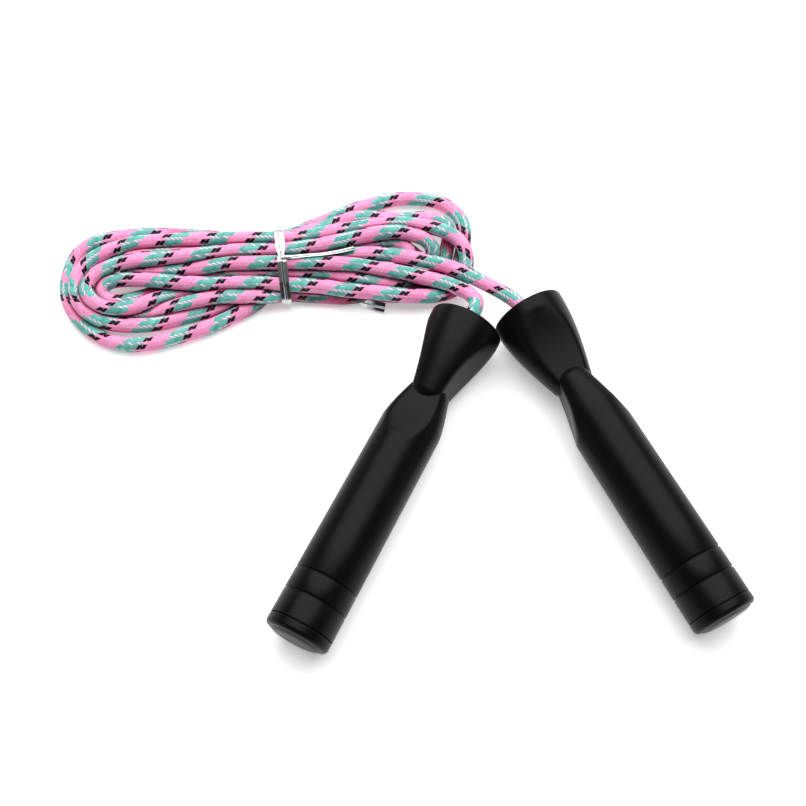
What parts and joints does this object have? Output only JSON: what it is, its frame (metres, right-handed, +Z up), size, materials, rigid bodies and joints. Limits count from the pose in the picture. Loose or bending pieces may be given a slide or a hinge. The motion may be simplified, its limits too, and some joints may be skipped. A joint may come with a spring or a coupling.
{
  "type": "skipping rope",
  "caption": "Skipping rope with two black ball-bearing handles pinched at the neck, its braided rope folded into a hank and tied.",
  "frame": {"origin": "on the ground under the middle of the two handles", "axes": "+X from the hank's tied rope towards the right handle, +Y from the handles' caps towards their mouths, +Z up"},
  "size_m": [0.309, 0.2299, 0.0346],
  "materials": {
    "black_plastic": "satin",
    "rope": "braided",
    "tie": "silvered",
    "bearing_steel": "polished",
    "washer_steel": "zinc plated",
    "ferrule_aluminium": "crimped"
  },
  "bodies": {
    "rope": {"rope_hank": "rope", "left_rope_lead": "rope", "right_rope_lead": "rope", "twist_tie": "tie", "left_rope_washer": "washer_steel", "left_rope_ferrule": "ferrule_aluminium", "left_bearing_inner_race": "bearing_steel", "right_rope_washer": "washer_steel", "right_rope_ferrule": "ferrule_aluminium", "right_bearing_inner_race": "bearing_steel"},
    "left_handle": {"left_handle_shell": "black_plastic", "left_end_cap": "black_plastic", "left_retaining_ring": "black_plastic", "left_bearing_outer_race": "bearing_steel", "left_bearing_front_shield": "bearing_steel", "left_bearing_rear_shield": "bearing_steel"},
    "right_handle": {"right_handle_shell": "black_plastic", "right_end_cap": "black_plastic", "right_retaining_ring": "black_plastic", "right_bearing_outer_race": "bearing_steel", "right_bearing_front_shield": "bearing_steel", "right_bearing_rear_shield": "bearing_steel"},
    "left_ball_cage": {"left_bearing_cage": "bearing_steel", "left_bearing_ball_1": "bearing_steel", "left_bearing_ball_2": "bearing_steel", "left_bearing_ball_3": "bearing_steel", "left_bearing_ball_4": "bearing_steel", "left_bearing_ball_5": "bearing_steel", "left_bearing_ball_6": "bearing_steel", "left_bearing_ball_7": "bearing_steel"},
    "right_ball_cage": {"right_bearing_cage": "bearing_steel", "right_bearing_ball_1": "bearing_steel", "right_bearing_ball_2": "bearing_steel", "right_bearing_ball_3": "bearing_steel", "right_bearing_ball_4": "bearing_steel", "right_bearing_ball_5": "bearing_steel", "right_bearing_ball_6": "bearing_steel", "right_bearing_ball_7": "bearing_steel"}
  },
  "joints": [
    {"name": "left_handle_spin", "type": "hinge", "parent": "rope", "child": "left_handle", "pos_m": [-0.0155, 0.0678, 0.0173], "axis": [0.457, 0.8893, 0.0174], "continuous": true},
    {"name": "left_cage_spin", "type": "hinge", "parent": "rope", "child": "left_ball_cage", "pos_m": [-0.0155, 0.0678, 0.0173], "axis": [0.457, 0.8893, 0.0174], "continuous": true},
    {"name": "right_handle_spin", "type": "hinge", "parent": "rope", "child": "right_handle", "pos_m": [0.0122, 0.0745, 0.0173], "axis": [-0.4786, 0.8779, 0.0174], "continuous": true},
    {"name": "right_cage_spin", "type": "hinge", "parent": "rope", "child": "right_ball_cage", "pos_m": [0.0122, 0.0745, 0.0173], "axis": [-0.4786, 0.8779, 0.0174], "continuous": true}
  ],
  "couplings": [
    {"joint": "left_cage_spin", "follows": "left_handle_spin", "ratio": 0.632},
    {"joint": "right_cage_spin", "follows": "right_handle_spin", "ratio": 0.632}
  ]
}
